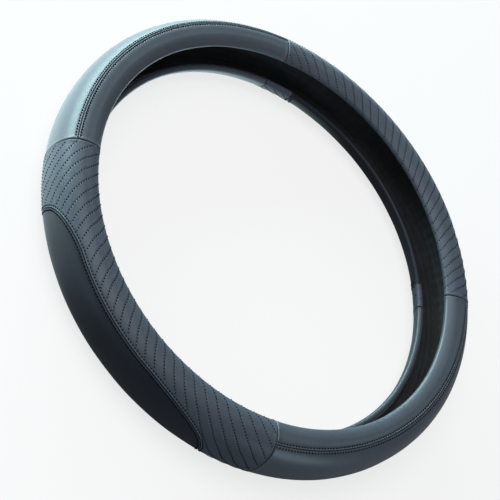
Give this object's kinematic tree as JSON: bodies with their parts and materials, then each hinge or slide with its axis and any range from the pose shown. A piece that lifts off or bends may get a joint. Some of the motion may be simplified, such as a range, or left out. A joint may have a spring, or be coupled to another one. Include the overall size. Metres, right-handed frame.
{
  "type": "steering wheel cover",
  "caption": "Slip-on leather steering wheel cover: a ring with an open C-shaped section, stitched grips at both sides, smooth top and bottom panels and inset side panels.",
  "frame": {"origin": "the ring's centre, on the plane that its rear side rests on", "axes": "+Z along the ring's axis from the rear side to the front side, towards the driver; +Y towards twelve o'clock, the middle of the smooth top section; +X towards three o'clock, the middle of the right grip"},
  "size_m": [0.3794, 0.3794, 0.0506],
  "materials": {
    "core_rubber": "matt moulded rubber with an anti-slip relief on its inner side",
    "smooth_leather": "soft smooth leather with a very fine grain and a broad sheen",
    "grip_leather": "soft matt leather sewn into slanting channels",
    "insert_leather": "soft smooth leather with a very fine grain",
    "thread": "twisted sewing thread, nearly black"
  },
  "bodies": {
    "root": {"inner_ring": "core_rubber", "top_front_panel": "smooth_leather", "top_rear_panel": "smooth_leather", "bottom_front_panel": "smooth_leather", "bottom_rear_panel": "smooth_leather", "left_grip_panel": "grip_leather", "right_grip_panel": "grip_leather", "left_insert_panel": "insert_leather", "right_insert_panel": "insert_leather", "top_thread_front": "thread", "top_thread_rear": "thread", "bottom_thread_front": "thread", "bottom_thread_rear": "thread", "left_thread_outer": "thread", "left_thread_inner": "thread", "right_thread_outer": "thread", "right_thread_inner": "thread"}
  },
  "joints": []
}
